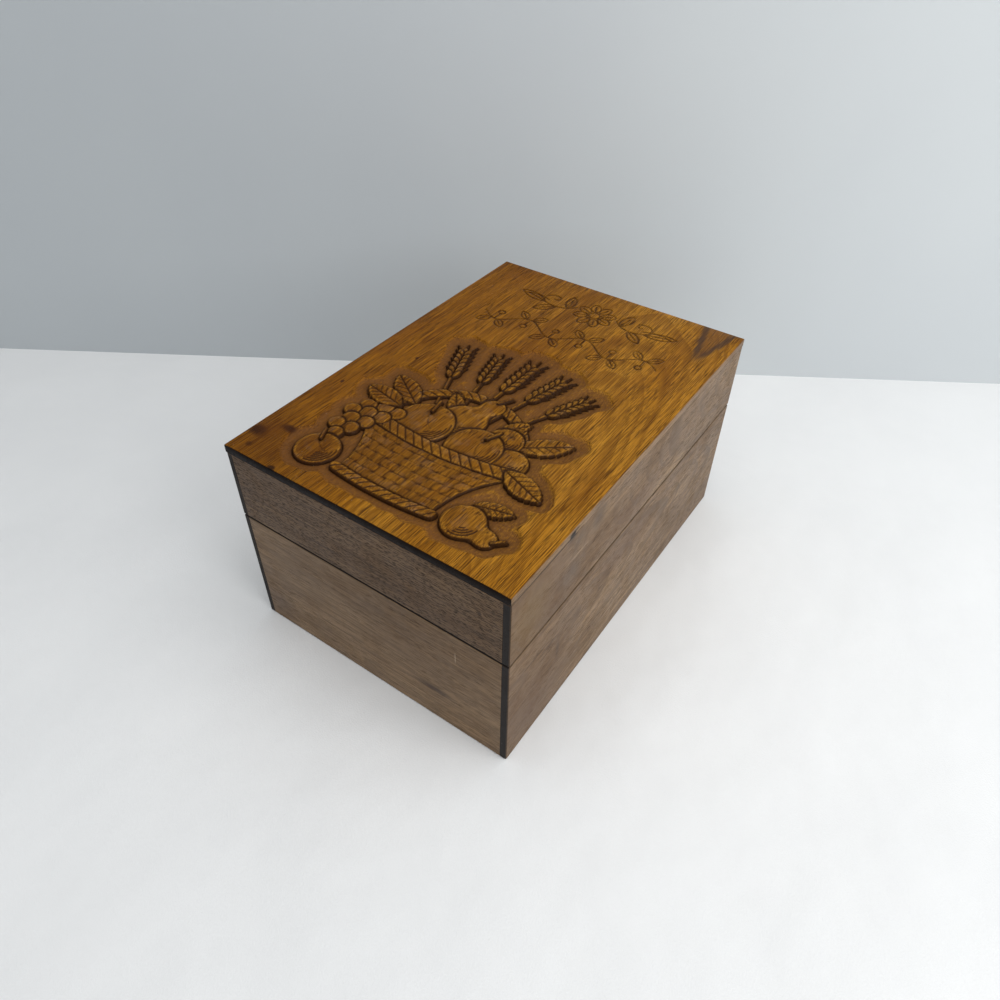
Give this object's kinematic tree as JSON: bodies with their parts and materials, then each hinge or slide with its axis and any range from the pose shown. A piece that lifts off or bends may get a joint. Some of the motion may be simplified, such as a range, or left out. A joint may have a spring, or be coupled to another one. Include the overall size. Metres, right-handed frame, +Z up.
{
  "type": "recipe card box",
  "caption": "Wooden box for recipe cards with a deep lid, rabbeted corners and a carved top board, hinged at the short back end.",
  "frame": {"origin": "centre of the box's underside, on the plane it stands on", "axes": "+Z up; +Y from the front to the hinged back; +X to the right of someone facing the front. The hinge knuckles stand 3.5 mm behind the back face."},
  "size_m": [0.146, 0.2135, 0.108],
  "materials": {
    "dark_walnut": "satin oiled",
    "golden_walnut": "satin varnish",
    "birch_plywood": "bare",
    "brass_hinge": "worn satin",
    "brass_screw": "worn satin"
  },
  "bodies": {
    "base": {"base_front_wall": "dark_walnut", "base_back_wall": "dark_walnut", "base_left_wall": "dark_walnut", "base_right_wall": "dark_walnut", "base_bottom_panel": "birch_plywood", "left_hinge_base_leaf": "brass_hinge", "left_hinge_pin": "brass_hinge", "left_hinge_base_screws": "brass_screw", "right_hinge_base_leaf": "brass_hinge", "right_hinge_pin": "brass_hinge", "right_hinge_base_screws": "brass_screw"},
    "lid": {"lid_front_wall": "dark_walnut", "lid_back_wall": "dark_walnut", "lid_left_wall": "dark_walnut", "lid_right_wall": "dark_walnut", "lid_top_panel": "golden_walnut", "left_hinge_lid_leaf": "brass_hinge", "left_hinge_lid_screws": "brass_screw", "right_hinge_lid_leaf": "brass_hinge", "right_hinge_lid_screws": "brass_screw"}
  },
  "joints": [
    {"name": "lid_hinge", "type": "hinge", "parent": "base", "child": "lid", "pos_m": [0, 0.10685, 0.0677], "axis": [-1, 0, 0], "range_deg": [0, 180]}
  ]
}
